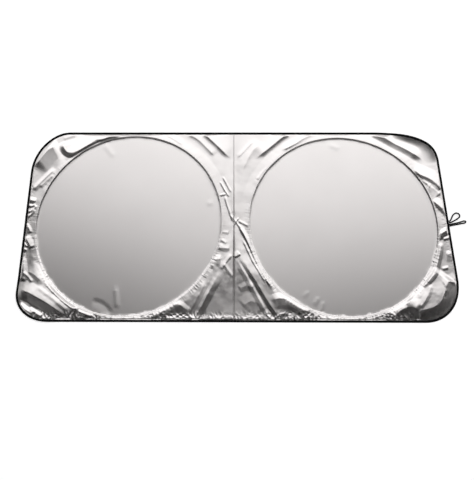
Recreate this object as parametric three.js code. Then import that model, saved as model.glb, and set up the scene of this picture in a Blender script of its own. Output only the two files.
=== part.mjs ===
// Windscreen sunshade, open and lying with its silver side up. Millimetres.
// +X is to the right of the silver side, +Y to the top edge, +Z up.
// The origin is under the middle of the sheet, on the surface that it lies on.
import * as THREE from 'three';

// Outline of the bound sheet: where its four straight edges would meet
const SHADE_HEIGHT = 645;
const TOP_WIDTH = 1348;
const TOP_SHIFT = -8.5;
const FOOT_WIDTH = 1533;
const FOOT_SHIFT = 5;
const FOOT_RISE_AT_LEFT = 4;

// Corner curves: how far each one reaches along its top or foot edge and along its side edge,
// and how hard it pulls towards the corner, from 0 for a straight cut to 1 for a sharp corner
const TOP_LEFT_CURVE = { edgeReach: 118, sideReach: 135, edgePull: 0.5, sidePull: 0.55 };
const TOP_RIGHT_CURVE = { edgeReach: 215, sideReach: 100, edgePull: 0.6, sidePull: 0.8 };
const FOOT_LEFT_CURVE = { edgeReach: 125, sideReach: 105, edgePull: 0.6, sidePull: 0.6 };
const FOOT_RIGHT_CURVE = { edgeReach: 135, sideReach: 150, edgePull: 0.6, sidePull: 0.55 };

// Centre seam
const SEAM_X = -12.5;
const SEAM_GAP = 0.3;
const SEAM_MARGIN = 5;
const SEAM_TAPE_WIDTH = 14;

// Hoops: slightly oval rings of spring wire, one in each half. Each lies in the box that is left when
// these stretches of free cloth are kept between its casing and the tapes at the top, the foot, the
// seam and the side. Slant, in degrees, leans the oval, and joinAt is where its ends meet.
const LEFT_HOOP = { freeTop: 1.4, freeFoot: 4.4, freeSeam: 29, freeSide: 26, slant: 4.8, joinAt: 250 };
const RIGHT_HOOP = { freeTop: 7, freeFoot: 4, freeSeam: 40, freeSide: 26.5, slant: -4.2, joinAt: 290 };
const WIRE_DIAMETER = 2;
const WIRE_END_GAP = 0.8;
const SLEEVE_LENGTH = 24;
const SLEEVE_WALL = 0.4;
const SLEEVE_CRIMP_DEPTH = 0.1;
const CASING_WIDTH = 9;

// Thicknesses and clearances
const CLOTH_THICKNESS = 0.3;
const TAPE_THICKNESS = 0.4;
const CLEARANCE = 0.3;
const BINDING_WIDTH = 7.5;

// Channel ridge that the cloth makes over each wire
const RIDGE_FLANK = 2.3;
const SHOULDER_FLARE = 0.4;
const SHOULDER_DROP = 0.6;
const SLEEVE_BUMP_REACH = 36;
const SLEEVE_BUMP_FADE = 30;

// Slack cloth: its own lift, and how soon it is drawn flat beside a line of stitches
const SLACK_RISE = 1.5;
const STITCH_FADE = 12;

// Elastic loops sewn to the right edge
const ELASTIC_DIAMETER = 4.5;
const LOOP_EDGE_Y = 22;
const LOOP_SPACING = 11;

// Fineness
const EDGE_STEP = 24;
const CORNER_STEPS = 9;
const LOOSE_RINGS = 6;
const HOOP_STEPS = 52;
const WIRE_SIDES = 8;
const ELASTIC_SIDES = 8;
const ELASTIC_STEPS = 18;

// Folds of the slack cloth. Each path is a list of places, given as an angle round the hoop in degrees
// and the way out from the hoop, 0, to the edge's stitches, 1. Rise and spread are in millimetres,
// spread being half the width of the fold at its foot.
const LEFT_FOLDS = [
  { path: [[134, 0.85], [112, 0.5], [96, 0.5]], rise: 8, spread: 24 },
  { path: [[158, 0.7], [148, 0.42], [140, 0.25]], rise: 9, spread: 20 },
  { path: [[147, 0.85], [138, 0.7]], rise: 5, spread: 20 },
  { path: [[166, 0.9], [164, 0.2]], rise: 6, spread: 13 },
  { path: [[174, 0.9], [173, 0.2]], rise: 5, spread: 13 },
  { path: [[182, 0.9], [181, 0.2]], rise: 5, spread: 13 },
  { path: [[190, 0.9], [188, 0.2]], rise: 5, spread: 13 },
  { path: [[199, 0.9], [205, 0.6], [213, 0.3]], rise: 6, spread: 17 },
  { path: [[210, 0.8], [225, 0.62], [240, 0.7]], rise: 12, spread: 28 },
  { path: [[260, 0.6], [278, 0.5], [290, 0.6]], rise: 3, spread: 12 },
  { path: [[304, 0.9], [318, 0.58], [336, 0.5], [344, 0.85]], rise: 10, spread: 19 },
  { path: [[310, 0.3], [327, 0.14]], rise: 4, spread: 14 },
  { path: [[51, 0.95], [42, 0.57], [34, 0.92]], rise: 8, spread: 16 },
  { path: [[57, 0.85], [39, 0.4], [28, 0.2]], rise: 6, spread: 16 },
  { path: [[27, 0.4], [13, 0.95]], rise: 6, spread: 14 },
  { path: [[352, 0.8], [345, 0.3]], rise: 4, spread: 13 },
];
const RIGHT_FOLDS = [
  { path: [[120, 0.95], [130, 0.5], [143, 0.3]], rise: 10, spread: 20 },
  { path: [[133, 0.75], [142, 0.6], [154, 0.85]], rise: 7, spread: 18 },
  { path: [[103, 0.8], [116, 0.2]], rise: 5, spread: 14 },
  { path: [[168, 0.8], [160, 0.3]], rise: 5, spread: 14 },
  { path: [[176, 0.95], [184, 0.4], [196, 0.12], [214, 0.08]], rise: 7, spread: 14 },
  { path: [[193, 0.95], [207, 0.46], [220, 0.34], [235, 0.9]], rise: 11, spread: 20 },
  { path: [[222, 0.75], [230, 0.45], [246, 0.4]], rise: 6, spread: 18 },
  { path: [[72, 0.95], [59, 0.38], [47, 0.3], [36, 0.46]], rise: 9, spread: 22 },
  { path: [[60, 0.75], [48, 0.72], [37, 0.74]], rise: 7, spread: 22 },
  { path: [[29, 0.15], [23, 0.6]], rise: 6, spread: 15 },
  { path: [[14, 0.2], [9, 0.85]], rise: 5, spread: 13 },
  { path: [[3, 0.2], [359, 0.85]], rise: 5, spread: 13 },
  { path: [[353, 0.2], [350, 0.85]], rise: 5, spread: 13 },
  { path: [[342, 0.75], [328, 0.55], [314, 0.62]], rise: 12, spread: 28 },
  { path: [[346, 0.3], [332, 0.16]], rise: 6, spread: 15 },
  { path: [[296, 0.75], [306, 0.35], [316, 0.2]], rise: 6, spread: 16 },
  { path: [[262, 0.6], [276, 0.5], [288, 0.6]], rise: 3, spread: 12 },
];

// Routes of the elastic loops from the edge and back, as steps straight out from it and up along it
const OPEN_LOOP_ROUTE = [
  [0, 0], [4, 0.3], [9, 6], [16, 17], [26, 23], [36, 20], [39, 11], [31, 4], [19, -1], [9, -4.5],
  [4, -5.3], [0, -5.5],
];
const FLAT_LOOP_ROUTE = [
  [0, 0], [4, 0.1], [14, 0.4], [28, 1], [42, 2.5], [51, 3.5], [56, 0.5], [53, -3.2], [42, -3.6],
  [28, -4.2], [14, -4.6], [4, -4.9], [0, -5],
];

// Heights of the layers above the surface
const clothUnderside = TAPE_THICKNESS + CLEARANCE;
const bindingRoof = clothUnderside + CLOTH_THICKNESS + CLEARANCE;
const sleeveBore = WIRE_DIAMETER / 2 + CLEARANCE;
const sleeveRadius = sleeveBore + SLEEVE_WALL;
const wireHeight = clothUnderside + sleeveRadius;
const channelRoof = wireHeight + WIRE_DIAMETER / 2 + CLEARANCE;
const sleeveRoof = wireHeight + sleeveRadius + CLEARANCE;
const ridgeHalf = sleeveRadius + RIDGE_FLANK;
const shoulderHalf = sleeveBore + SHOULDER_FLARE;

const silverCloth = new THREE.MeshStandardMaterial({ color: 0xc3c5c7, roughness: 0.42, metalness: 0.85 });
const blackTape = new THREE.MeshStandardMaterial({ color: 0x161617, roughness: 0.9, metalness: 0 });
const springSteel = new THREE.MeshStandardMaterial({ color: 0x8d9195, roughness: 0.35, metalness: 1 });
const crimpMetal = new THREE.MeshStandardMaterial({ color: 0xb4b6b8, roughness: 0.4, metalness: 1 });
const blackElastic = new THREE.MeshStandardMaterial({ color: 0x1c1c1d, roughness: 0.8, metalness: 0 });

function namedMesh(name, geometry, material) {
  const mesh = new THREE.Mesh(geometry, material);
  mesh.name = name;
  return mesh;
}

function indexedGeometry(vertices, triangles) {
  const geometry = new THREE.BufferGeometry();
  geometry.setAttribute('position', new THREE.Float32BufferAttribute(vertices, 3));
  geometry.setIndex(triangles);
  return geometry;
}

// Where the straight edges meet, anticlockwise from the top left
const topLeft = new THREE.Vector2(TOP_SHIFT - TOP_WIDTH / 2, SHADE_HEIGHT / 2);
const topRight = new THREE.Vector2(TOP_SHIFT + TOP_WIDTH / 2, SHADE_HEIGHT / 2);
const footLeft = new THREE.Vector2(FOOT_SHIFT - FOOT_WIDTH / 2, FOOT_RISE_AT_LEFT - SHADE_HEIGHT / 2);
const footRight = new THREE.Vector2(FOOT_SHIFT + FOOT_WIDTH / 2, -SHADE_HEIGHT / 2);

function towards(from, to, distance) {
  const step = new THREE.Vector2().subVectors(to, from).setLength(distance);
  return step.add(from);
}

// One corner curve, run anticlockwise: it enters along one straight edge and leaves along the next
function cornerCurve(corner, before, after, enterReach, enterPull, leaveReach, leavePull) {
  return new THREE.CubicBezierCurve(
    towards(corner, before, enterReach),
    towards(corner, before, enterReach * (1 - enterPull)),
    towards(corner, after, leaveReach * (1 - leavePull)),
    towards(corner, after, leaveReach),
  );
}

function edgeFirst(corner, before, after, curve) {
  return cornerCurve(corner, before, after, curve.edgeReach, curve.edgePull, curve.sideReach, curve.sidePull);
}

function sideFirst(corner, before, after, curve) {
  return cornerCurve(corner, before, after, curve.sideReach, curve.sidePull, curve.edgeReach, curve.edgePull);
}

const corners = {
  topLeft: edgeFirst(topLeft, topRight, footLeft, TOP_LEFT_CURVE),
  footLeft: sideFirst(footLeft, topLeft, footRight, FOOT_LEFT_CURVE),
  footRight: edgeFirst(footRight, footLeft, topRight, FOOT_RIGHT_CURVE),
  topRight: sideFirst(topRight, footRight, topLeft, TOP_RIGHT_CURVE),
};

// Points along a corner curve with the way inwards at each
function cornerStations(curve) {
  const stations = [];
  for (let i = 0; i <= CORNER_STEPS; i += 1) {
    const tangent = curve.getTangent(i / CORNER_STEPS);
    const inward = new THREE.Vector2(-tangent.y, tangent.x);
    stations.push({ at: curve.getPoint(i / CORNER_STEPS), inward });
  }
  return stations;
}

function insetCorner(curve, inset) {
  return cornerStations(curve).map((station) => station.at.clone().addScaledVector(station.inward, inset));
}

// Evenly spaced points between two ends, both left out
function pointsBetween(from, to, steps) {
  const points = [];
  for (let i = 1; i < steps; i += 1) {
    points.push(new THREE.Vector2().lerpVectors(from, to, i / steps));
  }
  return points;
}

function stepsAlong(from, to) {
  return Math.ceil(from.distanceTo(to) / EDGE_STEP);
}

// Point of the straight line through two others at the given x
function pointAtX(from, to, x) {
  return new THREE.Vector2().lerpVectors(from, to, (x - from.x) / (to.x - from.x));
}

// Boundary of one half of the sheet, anticlockwise, at an inset from the outline and from the seam.
// Every inset gives the same number of points, so two boundaries pair up point by point.
function halfBoundary(isLeft, inset, seamInset) {
  const firstCurve = isLeft ? corners.topLeft : corners.footRight;
  const secondCurve = isLeft ? corners.footLeft : corners.topRight;
  const first = insetCorner(firstCurve, inset);
  const second = insetCorner(secondCurve, inset);
  const edgeBefore = insetCorner(isLeft ? corners.topRight : corners.footLeft, inset).at(-1);
  const edgeAfter = insetCorner(isLeft ? corners.footRight : corners.topLeft, inset)[0];
  const seamX = isLeft ? SEAM_X - seamInset : SEAM_X + seamInset;
  const start = pointAtX(edgeBefore, first[0], seamX);
  const end = pointAtX(second.at(-1), edgeAfter, seamX);
  const seamTop = pointAtX(topLeft, topRight, SEAM_X);
  const seamFoot = pointAtX(footLeft, footRight, SEAM_X);
  const firstSteps = stepsAlong(isLeft ? seamTop : seamFoot, firstCurve.getPoint(0));
  const sideSteps = stepsAlong(firstCurve.getPoint(1), secondCurve.getPoint(0));
  const lastSteps = stepsAlong(secondCurve.getPoint(1), isLeft ? seamFoot : seamTop);
  const seamSteps = stepsAlong(seamTop, seamFoot);
  return [
    start,
    ...pointsBetween(start, first[0], firstSteps),
    ...first,
    ...pointsBetween(first.at(-1), second[0], sideSteps),
    ...second,
    ...pointsBetween(second.at(-1), end, lastSteps),
    end,
    ...pointsBetween(end, start, seamSteps),
  ];
}

// Sweeps a flat section along stations. A section point is the way across, inwards, and the height.
function sweep(section, stations, closed) {
  const vertices = [];
  const triangles = [];
  const around = section.length;
  stations.forEach((station) => {
    section.forEach(([across, height]) => {
      const at = station.at.clone().addScaledVector(station.inward, across);
      vertices.push(at.x, at.y, height);
    });
  });
  const spans = closed ? stations.length : stations.length - 1;
  for (let i = 0; i < spans; i += 1) {
    const here = i * around;
    const next = ((i + 1) % stations.length) * around;
    for (let j = 0; j < around; j += 1) {
      const k = (j + 1) % around;
      triangles.push(here + j, next + j, next + k, here + j, next + k, here + k);
    }
  }
  if (!closed) {
    const last = (stations.length - 1) * around;
    const outline = section.map(([across, height]) => new THREE.Vector2(across, height));
    THREE.ShapeUtils.triangulateShape(outline, []).forEach(([a, b, c]) => {
      triangles.push(c, b, a, last + a, last + b, last + c);
    });
  }
  return indexedGeometry(vertices, triangles);
}

// Lays a hoop into its half of the sheet: its middle, and half its width and height
function laidHoop(hoop, isLeft) {
  const towardsSide = isLeft ? -1 : 1;
  const casingHalf = CASING_WIDTH / 2;
  const seamLine = SEAM_X + towardsSide * (SEAM_TAPE_WIDTH / 2 + casingHalf + hoop.freeSeam);
  const sideTop = isLeft ? topLeft : topRight;
  const sideFoot = isLeft ? footLeft : footRight;
  const sideMiddle = (sideTop.x + sideFoot.x) / 2;
  const sideLine = sideMiddle - towardsSide * (BINDING_WIDTH + casingHalf + hoop.freeSide);
  const x = (seamLine + sideLine) / 2;
  const footMiddle = pointAtX(footLeft, footRight, x).y;
  const topLine = topLeft.y - BINDING_WIDTH - casingHalf - hoop.freeTop;
  const footLine = footMiddle + BINDING_WIDTH + casingHalf + hoop.freeFoot;
  return {
    ...hoop,
    x,
    y: (topLine + footLine) / 2,
    halfWidth: Math.abs(sideLine - seamLine) / 2,
    halfHeight: (topLine - footLine) / 2,
  };
}

const leftHoop = laidHoop(LEFT_HOOP, true);
const rightHoop = laidHoop(RIGHT_HOOP, false);

// Way from the hoop's middle to the wire's centre line. The hoop is the oval that x = cos(turn) and
// y = sin(turn + slant) trace in its box.
function hoopRadius(hoop, angle) {
  const slant = THREE.MathUtils.degToRad(hoop.slant);
  const across = Math.cos(angle) / hoop.halfWidth;
  const up = (Math.sin(angle) / hoop.halfHeight - Math.sin(slant) * across) / Math.cos(slant);
  return 1 / Math.hypot(across, up);
}

function hoopPoint(hoop, angle, offset) {
  const radius = hoopRadius(hoop, angle) + offset;
  return new THREE.Vector2(hoop.x + radius * Math.cos(angle), hoop.y + radius * Math.sin(angle));
}

// Point of the wire's centre line with the way towards the middle of the hoop
function hoopStation(hoop, angle) {
  const tiny = 1e-3;
  const tangent = new THREE.Vector2()
    .subVectors(hoopPoint(hoop, angle + tiny, 0), hoopPoint(hoop, angle - tiny, 0))
    .normalize();
  return { at: hoopPoint(hoop, angle, 0), inward: new THREE.Vector2(-tangent.y, tangent.x), tangent };
}

function ease(value) {
  const clamped = THREE.MathUtils.clamp(value, 0, 1);
  return clamped * clamped * (3 - 2 * clamped);
}

// Underside height of the channel's crest, which is higher over the sleeve
function crestHeight(hoop, angle) {
  const join = hoopPoint(hoop, THREE.MathUtils.degToRad(hoop.joinAt), 0);
  const away = hoopPoint(hoop, angle, 0).distanceTo(join);
  const overSleeve = 1 - ease((away - SLEEVE_BUMP_REACH) / SLEEVE_BUMP_FADE);
  return THREE.MathUtils.lerp(channelRoof, sleeveRoof, overSleeve);
}

function distanceToPath(point, path) {
  let nearest = Infinity;
  for (let i = 1; i < path.length; i += 1) {
    const along = new THREE.Vector2().subVectors(path[i], path[i - 1]);
    const offset = new THREE.Vector2().subVectors(point, path[i - 1]);
    const share = THREE.MathUtils.clamp(offset.dot(along) / along.lengthSq(), 0, 1);
    nearest = Math.min(nearest, offset.addScaledVector(along, -share).length());
  }
  return nearest;
}

// The grid of one half: the angle of each ray from the hoop's middle, and where the ray's slack
// stretch starts, beside the channel, and ends, at the stitches of the binding or the seam
function halfRays(hoop, isLeft) {
  const stitchLine = halfBoundary(isLeft, BINDING_WIDTH + CLEARANCE, SEAM_MARGIN);
  const rim = halfBoundary(isLeft, TAPE_THICKNESS + CLEARANCE, SEAM_GAP / 2);
  return stitchLine.map((stitch, i) => {
    const angle = Math.atan2(stitch.y - hoop.y, stitch.x - hoop.x);
    return { angle, start: hoopPoint(hoop, angle, ridgeHalf), stitch, rim: rim[i] };
  });
}

// Place on the slack cloth at an angle round the hoop and a way out from it
function slackPlace(rays, [degrees, wayOut]) {
  const wanted = THREE.MathUtils.degToRad(degrees);
  const turn = (angle) => THREE.MathUtils.euclideanModulo(angle, 2 * Math.PI);
  for (let i = 0; i < rays.length; i += 1) {
    const here = rays[i];
    const next = rays[(i + 1) % rays.length];
    const share = turn(wanted - here.angle) / turn(next.angle - here.angle);
    if (share <= 1) {
      const start = new THREE.Vector2().lerpVectors(here.start, next.start, share);
      const stitch = new THREE.Vector2().lerpVectors(here.stitch, next.stitch, share);
      return start.lerp(stitch, wayOut);
    }
  }
  return rays[0].stitch.clone();
}

// Height of the slack cloth's underside at a point of one ray
function slackHeight(point, ray, folds) {
  const freeOfChannel = ease(point.distanceTo(ray.start) / STITCH_FADE);
  const freeOfEdge = ease(point.distanceTo(ray.stitch) / STITCH_FADE);
  const rise = folds.reduce((highest, fold) => {
    const off = distanceToPath(point, fold.path) / fold.spread;
    return off < 1 ? Math.max(highest, fold.rise * Math.cos((off * Math.PI) / 2) ** 2) : highest;
  }, 0);
  return clothUnderside + freeOfChannel * freeOfEdge * (SLACK_RISE + rise);
}

// Underside points of the cloth along one ray, from the taut disc out to the rim
function rayProfile(hoop, ray, folds) {
  const crest = crestHeight(hoop, ray.angle);
  const ridge = [
    [-ridgeHalf, clothUnderside],
    [-shoulderHalf, crest - SHOULDER_DROP],
    [0, crest],
    [shoulderHalf, crest - SHOULDER_DROP],
    [ridgeHalf, clothUnderside],
  ];
  const points = ridge.map(([offset, height]) => {
    const at = hoopPoint(hoop, ray.angle, offset);
    return new THREE.Vector3(at.x, at.y, height);
  });
  for (let i = 1; i < LOOSE_RINGS; i += 1) {
    const at = new THREE.Vector2().lerpVectors(ray.start, ray.stitch, i / LOOSE_RINGS);
    points.push(new THREE.Vector3(at.x, at.y, slackHeight(at, ray, folds)));
  }
  points.push(new THREE.Vector3(ray.stitch.x, ray.stitch.y, clothUnderside));
  points.push(new THREE.Vector3(ray.rim.x, ray.rim.y, clothUnderside));
  return points;
}

// One half of the cloth as a thin closed shell: the taut disc, the channel ridge round it, the slack
// cloth with its folds, and the flat strip that the binding and the seam hold
function clothHalf(hoop, isLeft, foldList) {
  const rays = halfRays(hoop, isLeft);
  const folds = foldList.map((fold) => {
    const path = fold.path.map((place) => slackPlace(rays, place));
    return { ...fold, path };
  });
  const profiles = rays.map((ray) => rayProfile(hoop, ray, folds));
  const rings = profiles[0].length;
  const vertices = [];
  profiles.flat().forEach((point) => vertices.push(point.x, point.y, point.z + CLOTH_THICKNESS));
  profiles.flat().forEach((point) => vertices.push(point.x, point.y, point.z));
  const underStart = profiles.length * rings;
  const topMiddle = 2 * underStart;
  const underMiddle = topMiddle + 1;
  vertices.push(hoop.x, hoop.y, clothUnderside + CLOTH_THICKNESS);
  vertices.push(hoop.x, hoop.y, clothUnderside);
  const triangles = [];
  const bothFaces = (a, b, c) => {
    triangles.push(a, b, c, c + underStart, b + underStart, a + underStart);
  };
  profiles.forEach((profile, i) => {
    const here = i * rings;
    const next = ((i + 1) % profiles.length) * rings;
    const nextProfile = profiles[(i + 1) % profiles.length];
    for (let j = 0; j < rings - 1; j += 1) {
      // The quad is split along the diagonal that bends less, so that a crest isn't cut across
      const rising = Math.abs(profile[j].z - nextProfile[j + 1].z);
      const falling = Math.abs(profile[j + 1].z - nextProfile[j].z);
      if (rising <= falling) {
        bothFaces(here + j, here + j + 1, next + j + 1);
        bothFaces(here + j, next + j + 1, next + j);
      } else {
        bothFaces(here + j, here + j + 1, next + j);
        bothFaces(here + j + 1, next + j + 1, next + j);
      }
    }
    const rim = here + rings - 1;
    const nextRim = next + rings - 1;
    triangles.push(topMiddle, here, next, underMiddle, next + underStart, here + underStart);
    triangles.push(rim + underStart, nextRim + underStart, nextRim, rim + underStart, nextRim, rim);
  });
  return indexedGeometry(vertices, triangles);
}

// Tape folded over the sheet's edge: a U whose legs lie under and on the cloth
function edgeBinding() {
  const stations = Object.values(corners).flatMap(cornerStations);
  const section = [
    [0, 0],
    [0, bindingRoof + TAPE_THICKNESS],
    [BINDING_WIDTH, bindingRoof + TAPE_THICKNESS],
    [BINDING_WIDTH, bindingRoof],
    [TAPE_THICKNESS, bindingRoof],
    [TAPE_THICKNESS, TAPE_THICKNESS],
    [BINDING_WIDTH, TAPE_THICKNESS],
    [BINDING_WIDTH, 0],
  ];
  return sweep(section, stations, true);
}

// Tape sewn to the back of the cloth all round a hoop, which closes the wire's channel
function hoopCasing(hoop) {
  const stations = [];
  for (let i = 0; i < HOOP_STEPS; i += 1) {
    stations.push(hoopStation(hoop, (2 * Math.PI * i) / HOOP_STEPS));
  }
  const section = [
    [-CASING_WIDTH / 2, 0],
    [-CASING_WIDTH / 2, TAPE_THICKNESS],
    [CASING_WIDTH / 2, TAPE_THICKNESS],
    [CASING_WIDTH / 2, 0],
  ];
  return sweep(section, stations, true);
}

// Spring wire, bent round the hoop, with short straight ends that meet inside the sleeve
function hoopWire(hoop) {
  const join = THREE.MathUtils.degToRad(hoop.joinAt);
  const seat = hoopStation(hoop, join);
  const straightEnd = (distance) => ({
    at: seat.at.clone().addScaledVector(seat.tangent, distance),
    inward: seat.inward,
  });
  const straightReach = SLEEVE_LENGTH / 2 + CLEARANCE;
  const bendShare = (2 * straightReach) / (2 * Math.PI * hoopRadius(hoop, join));
  const stations = [straightEnd(WIRE_END_GAP / 2), straightEnd(straightReach)];
  for (let i = 0; i <= HOOP_STEPS; i += 1) {
    const share = THREE.MathUtils.lerp(bendShare, 1 - bendShare, i / HOOP_STEPS);
    stations.push(hoopStation(hoop, join + 2 * Math.PI * share));
  }
  stations.push(straightEnd(-straightReach), straightEnd(-WIRE_END_GAP / 2));
  const section = [];
  for (let i = 0; i < WIRE_SIDES; i += 1) {
    const around = (-2 * Math.PI * i) / WIRE_SIDES;
    section.push([
      (WIRE_DIAMETER / 2) * Math.cos(around),
      wireHeight + (WIRE_DIAMETER / 2) * Math.sin(around),
    ]);
  }
  return sweep(section, stations, false);
}

// Metal sleeve over the wire's two ends, crimped near each of its own ends
function hoopSleeve(name, hoop) {
  const half = SLEEVE_LENGTH / 2;
  const crimped = sleeveRadius - SLEEVE_CRIMP_DEPTH;
  const profile = [
    [sleeveBore, -half],
    [sleeveRadius, -half],
    [sleeveRadius, -half * 0.75],
    [crimped, -half * 0.55],
    [sleeveRadius, -half * 0.35],
    [sleeveRadius, half * 0.35],
    [crimped, half * 0.55],
    [sleeveRadius, half * 0.75],
    [sleeveRadius, half],
    [sleeveBore, half],
    [sleeveBore, -half],
  ].map(([radius, along]) => new THREE.Vector2(radius, along));
  const mesh = namedMesh(name, new THREE.LatheGeometry(profile, 12), crimpMetal);
  const seat = hoopStation(hoop, THREE.MathUtils.degToRad(hoop.joinAt));
  const tangent = new THREE.Vector3(seat.tangent.x, seat.tangent.y, 0);
  mesh.position.set(seat.at.x, seat.at.y, wireHeight);
  mesh.quaternion.setFromUnitVectors(new THREE.Vector3(0, 1, 0), tangent);
  return mesh;
}

// Tape sewn over the back of the middle seam, from one leg of the binding to the other
function centreSeamTape() {
  const length = SHADE_HEIGHT - 2 * (BINDING_WIDTH + CLEARANCE) - FOOT_RISE_AT_LEFT;
  const mesh = namedMesh(
    'centre_seam_tape',
    new THREE.BoxGeometry(SEAM_TAPE_WIDTH, length, TAPE_THICKNESS),
    blackTape,
  );
  mesh.position.set(SEAM_X, FOOT_RISE_AT_LEFT / 2, TAPE_THICKNESS / 2);
  return mesh;
}

// Point of the right edge at the given height, with the ways out from it and up along it
function rightEdgeAt(y) {
  const low = corners.footRight.getPoint(1);
  const high = corners.topRight.getPoint(0);
  const up = new THREE.Vector2().subVectors(high, low).normalize();
  const at = new THREE.Vector2().lerpVectors(low, high, (y - low.y) / (high.y - low.y));
  return { at, up, out: new THREE.Vector2(up.y, -up.x) };
}

// Round elastic sewn into the binding at both ends
function elasticLoop(name, route, edgeY) {
  const edge = rightEdgeAt(edgeY);
  const radius = ELASTIC_DIAMETER / 2;
  const points = route.map(([out, up]) => {
    const at = edge.at.clone().addScaledVector(edge.out, CLEARANCE + out).addScaledVector(edge.up, up);
    return new THREE.Vector3(at.x, at.y, radius);
  });
  const section = new THREE.Shape();
  section.absarc(0, 0, radius, 0, 2 * Math.PI);
  const geometry = new THREE.ExtrudeGeometry(section, {
    steps: ELASTIC_STEPS,
    curveSegments: ELASTIC_SIDES / 2,
    extrudePath: new THREE.CatmullRomCurve3(points),
  });
  return namedMesh(name, geometry, blackElastic);
}

const group = new THREE.Group();
group.add(namedMesh('panel_left', clothHalf(leftHoop, true, LEFT_FOLDS), silverCloth));
group.add(namedMesh('panel_right', clothHalf(rightHoop, false, RIGHT_FOLDS), silverCloth));
group.add(namedMesh('hoop_wire_left', hoopWire(leftHoop), springSteel));
group.add(namedMesh('hoop_wire_right', hoopWire(rightHoop), springSteel));
group.add(hoopSleeve('hoop_sleeve_left', leftHoop));
group.add(hoopSleeve('hoop_sleeve_right', rightHoop));
group.add(namedMesh('hoop_casing_left', hoopCasing(leftHoop), blackTape));
group.add(namedMesh('hoop_casing_right', hoopCasing(rightHoop), blackTape));
group.add(namedMesh('edge_binding', edgeBinding(), blackTape));
group.add(centreSeamTape());
group.add(elasticLoop('elastic_loop_open', OPEN_LOOP_ROUTE, LOOP_EDGE_Y));
group.add(elasticLoop('elastic_loop_flat', FLAT_LOOP_ROUTE, LOOP_EDGE_Y - LOOP_SPACING));

export default group;
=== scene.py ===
"""Windscreen sunshade: a twist-fold shade of silver-coated cloth on two sprung hoops.

The construction model is loaded as a fixed frame. Around it the script makes the creased cloth, the
folded edge tape, the stitches and the elastic loops, gives every piece its finish, and sets up a
plain studio. Lengths are in metres; +X runs along the shade's width, +Y to its top edge, +Z up.
"""

import collections
import math

import bmesh
import bpy
import numpy as np
from mathutils import Matrix, Vector
from mathutils.geometry import delaunay_2d_cdt
from mathutils.kdtree import KDTree


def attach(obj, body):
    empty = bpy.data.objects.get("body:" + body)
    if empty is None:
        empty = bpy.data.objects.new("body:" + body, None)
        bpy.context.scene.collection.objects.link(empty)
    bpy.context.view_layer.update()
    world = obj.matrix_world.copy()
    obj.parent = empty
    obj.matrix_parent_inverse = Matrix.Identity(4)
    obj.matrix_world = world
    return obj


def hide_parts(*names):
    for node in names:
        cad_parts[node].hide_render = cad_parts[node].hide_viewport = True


bl_info = {
    "name": "Windscreen Sunshade",
    "version": (1, 0, 0),
    "blender": (4, 5, 0),
    "location": "3D View > Sidebar > Sunshade",
    "description": "Builds a twist-fold windscreen sunshade of silver-coated cloth",
    "category": "Object",
}

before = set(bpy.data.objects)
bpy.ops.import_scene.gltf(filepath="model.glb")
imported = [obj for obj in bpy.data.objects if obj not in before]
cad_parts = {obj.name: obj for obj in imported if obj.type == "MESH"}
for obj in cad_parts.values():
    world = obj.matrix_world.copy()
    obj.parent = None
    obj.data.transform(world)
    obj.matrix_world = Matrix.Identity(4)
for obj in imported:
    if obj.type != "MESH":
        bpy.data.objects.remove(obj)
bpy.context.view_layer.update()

MM = 0.001

# Corner curves of the outline: reach along the top or foot edge and along the side edge, and the
# pull towards the corner on each
TOP_LEFT_CURVE = (118, 135, 0.5, 0.55)
TOP_RIGHT_CURVE = (215, 100, 0.6, 0.8)
FOOT_LEFT_CURVE = (125, 105, 0.6, 0.6)
FOOT_RIGHT_CURVE = (135, 150, 0.6, 0.55)

HALF_SEAM_TAPE = 7 * MM

# Routes of the elastic loops from the right edge and back, in millimetres out from it and up along it
OPEN_LOOP_ROUTE = (
    (0, 0), (4, 0.3), (9, 6), (16, 17), (26, 23), (36, 20), (39, 11), (31, 4), (19, -1), (9, -4.5),
    (4, -5.3), (0, -5.5),
)
FLAT_LOOP_ROUTE = (
    (0, 0), (4, 0.1), (14, 0.4), (28, 1), (42, 2.5), (51, 3.5), (56, 0.5), (53, -3.2), (42, -3.6),
    (28, -4.2), (14, -4.6), (4, -4.9), (0, -5),
)

# Section of the folded edge tape, in millimetres in from its outer edge and up from the floor
TAPE_SECTION = (
    (7.5, 0), (0.8, 0), (0.25, 0.15), (0, 0.55), (0, 1.15), (0.25, 1.6), (0.8, 1.82), (3, 1.98),
    (5.5, 1.9), (7.5, 1.62), (7.55, 1.3), (5, 1.35), (1.3, 1.35), (0.55, 1.15), (0.45, 0.6), (0.7, 0.42),
    (7.5, 0.4),
)

Fold = collections.namedtuple(
    "Fold", "rise above below path bend fade", defaults=(1.15, (0.15, 0.15))
)
Fold.__doc__ = """A crest in the cloth, in millimetres: its rise, or its depth where it is below 0, the
widths of its flanks to the left and the right of its path, the path, how hollow the flanks are, and the
shares of the path over which it fades in and out."""

# Bends of a fold's flanks
SHARP = 1.0
HOLLOW = 2.0

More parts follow.
